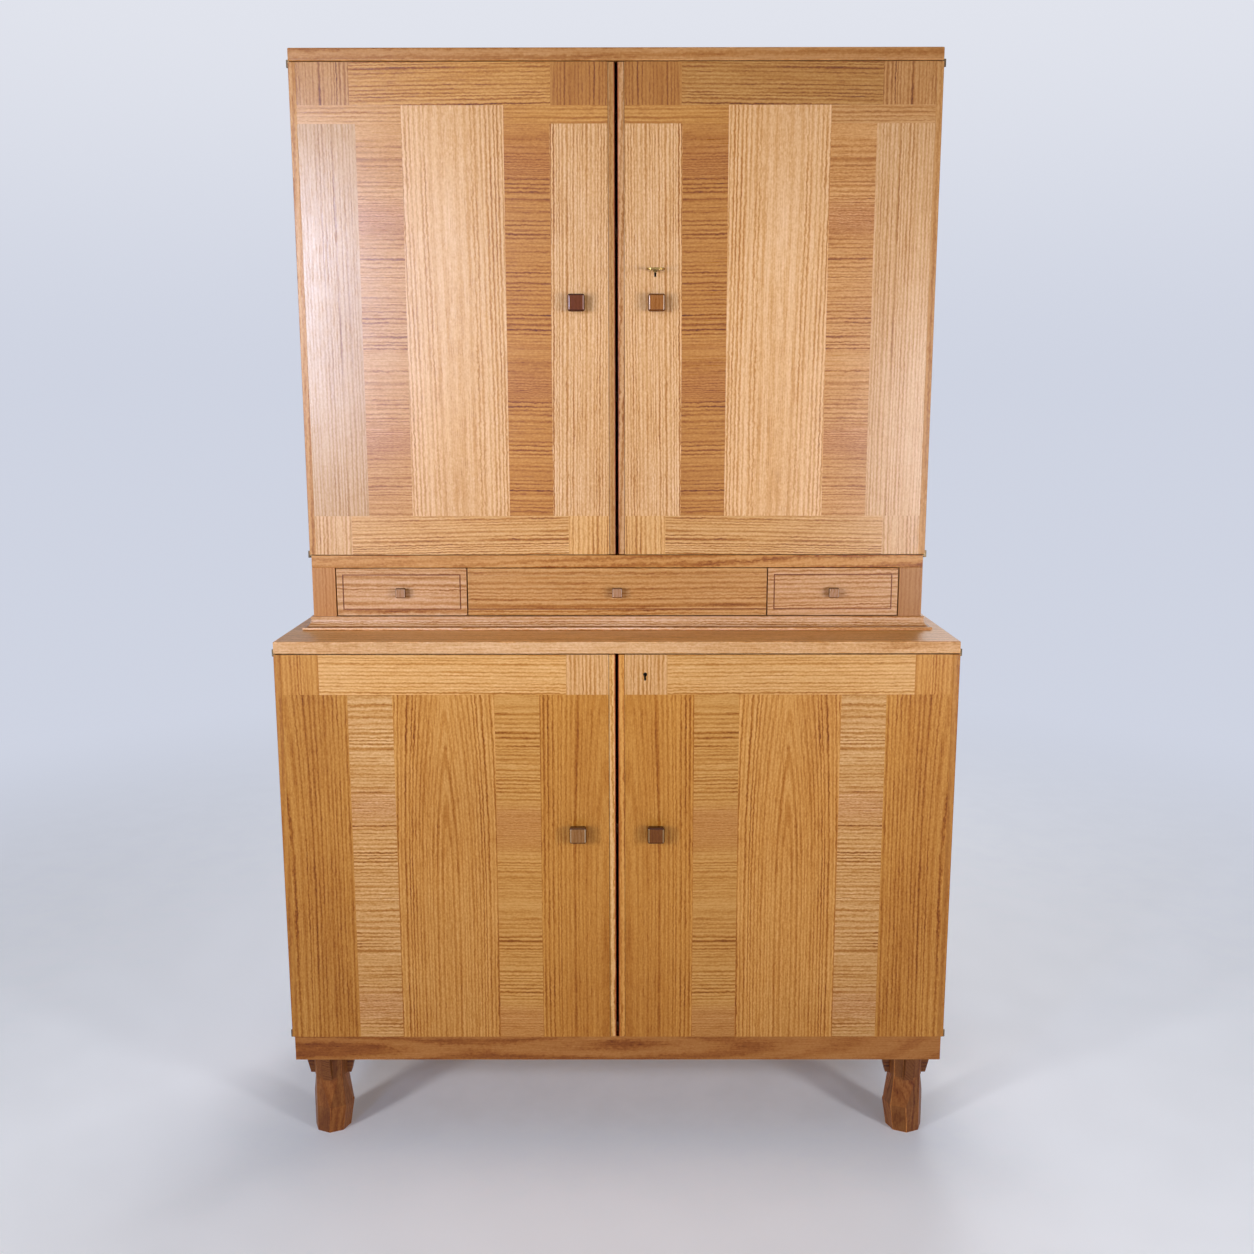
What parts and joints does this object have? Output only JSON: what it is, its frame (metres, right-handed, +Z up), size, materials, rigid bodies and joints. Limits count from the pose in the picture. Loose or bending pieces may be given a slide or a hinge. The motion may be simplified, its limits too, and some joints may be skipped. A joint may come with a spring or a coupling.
{
  "type": "linen press",
  "caption": "Two-stage linen press with patterned veneer doors above and below, a row of small drawers between, and carved eight-sided legs",
  "frame": {"origin": "on the floor under the middle of the whole press, knobs included", "axes": "+Z is up, the front faces -Y, +X is to the right seen from the front"},
  "size_m": [1.1222, 0.479, 1.809],
  "materials": {
    "door_veneer": "satin lacquer on straight-grained veneer",
    "case_wood": "satin lacquer on solid wood",
    "base_wood": "satin lacquer, darker brown",
    "leg_wood": "oiled, hand-cut facets",
    "knob_wood": "polished by handling",
    "inside_wood": "pale wood, thin matt lacquer",
    "brass": "aged brass",
    "lock_steel": "dull steel",
    "screw_steel": "dull steel"
  },
  "bodies": {
    "case": {"leg_front_left": "leg_wood", "leg_front_right": "leg_wood", "leg_rear_left": "leg_wood", "leg_rear_right": "leg_wood", "leg_cross_brackets": "leg_wood", "base_frame": "base_wood", "lower_bottom_board": "inside_wood", "lower_left_side": "case_wood", "lower_right_side": "case_wood", "lower_back_panel": "inside_wood", "waist_board": "case_wood", "waist_moulding": "case_wood", "upper_left_side": "case_wood", "upper_right_side": "case_wood", "top_board": "case_wood", "upper_bottom_board": "inside_wood", "drawer_deck": "case_wood", "drawer_dividers": "inside_wood", "drawer_posts": "case_wood", "upper_back_panel": "inside_wood", "shelves": "inside_wood", "shelf_pegs": "brass", "case_hinge_leaves": "brass", "case_fasteners": "screw_steel"},
    "upper_left_door": {"upper_left_door_panel": "case_wood", "upper_left_door_veneer": "door_veneer", "upper_left_door_hinge_leaves": "brass", "upper_left_door_knob": "knob_wood", "upper_lock_strike": "brass", "upper_left_door_bolt_plate": "brass"},
    "upper_right_door": {"upper_right_door_panel": "case_wood", "upper_right_door_veneer": "door_veneer", "upper_right_door_hinge_leaves": "brass", "upper_right_door_knob": "knob_wood", "upper_lock": "lock_steel"},
    "lower_left_door": {"lower_left_door_panel": "case_wood", "lower_left_door_veneer": "door_veneer", "lower_left_door_hinge_leaves": "brass", "lower_left_door_knob": "knob_wood", "lower_left_door_bolt_plate": "brass"},
    "lower_right_door": {"lower_right_door_panel": "case_wood", "lower_right_door_veneer": "door_veneer", "lower_right_door_hinge_leaves": "brass", "lower_right_door_knob": "knob_wood", "lower_lock": "lock_steel"},
    "left_drawer": {"left_drawer_front": "case_wood", "left_drawer_box": "inside_wood", "left_drawer_knob": "knob_wood"},
    "middle_drawer": {"middle_drawer_front": "case_wood", "middle_drawer_box": "inside_wood", "middle_drawer_knob": "knob_wood"},
    "right_drawer": {"right_drawer_front": "case_wood", "right_drawer_box": "inside_wood", "right_drawer_knob": "knob_wood"},
    "key": {"key": "brass"},
    "upper_lock_bolt": {"upper_lock_bolt": "lock_steel"},
    "lower_lock_bolt": {"lower_lock_bolt": "lock_steel"},
    "upper_left_door_bolt": {"upper_left_door_bolt": "brass"},
    "lower_left_door_bolt": {"lower_left_door_bolt": "brass"}
  },
  "joints": [
    {"name": "upper_left_door_swing", "type": "hinge", "parent": "case", "child": "upper_left_door", "pos_m": [-0.5217, -0.0825, 1.3965], "axis": [0, 0, -1], "range_deg": [0, 170]},
    {"name": "upper_right_door_swing", "type": "hinge", "parent": "case", "child": "upper_right_door", "pos_m": [0.5217, -0.0825, 1.3965], "axis": [0, 0, 1], "range_deg": [0, 170]},
    {"name": "lower_left_door_swing", "type": "hinge", "parent": "case", "child": "lower_left_door", "pos_m": [-0.5582, -0.2005, 0.5245], "axis": [0, 0, -1], "range_deg": [0, 170]},
    {"name": "lower_right_door_swing", "type": "hinge", "parent": "case", "child": "lower_right_door", "pos_m": [0.5582, -0.2005, 0.5245], "axis": [0, 0, 1], "range_deg": [0, 170]},
    {"name": "left_drawer_slide", "type": "slide", "parent": "case", "child": "left_drawer", "axis": [0, -1, 0], "range_m": [0, 0.21]},
    {"name": "middle_drawer_slide", "type": "slide", "parent": "case", "child": "middle_drawer", "axis": [0, -1, 0], "range_m": [0, 0.21]},
    {"name": "right_drawer_slide", "type": "slide", "parent": "case", "child": "right_drawer", "axis": [0, -1, 0], "range_m": [0, 0.21]},
    {"name": "key_turn", "type": "hinge", "parent": "upper_right_door", "child": "key", "pos_m": [0.063, -0.0885, 1.4685], "axis": [0, -1, 0], "range_deg": [0, 90]},
    {"name": "upper_lock_bolt_slide", "type": "slide", "parent": "upper_right_door", "child": "upper_lock_bolt", "axis": [-1, 0, 0], "range_m": [0, 0.009]},
    {"name": "lower_lock_bolt_slide", "type": "slide", "parent": "lower_right_door", "child": "lower_lock_bolt", "axis": [0, 0, 1], "range_m": [0, 0.008]},
    {"name": "upper_left_door_bolt_slide", "type": "slide", "parent": "upper_left_door", "child": "upper_left_door_bolt", "axis": [0, 0, 1], "range_m": [0, 0.01]},
    {"name": "lower_left_door_bolt_slide", "type": "slide", "parent": "lower_left_door", "child": "lower_left_door_bolt", "axis": [0, 0, 1], "range_m": [0, 0.01]}
  ],
  "couplings": [
    {"joint": "key_turn", "follows": "upper_lock_bolt_slide", "rad_per_m": 174.53}
  ]
}
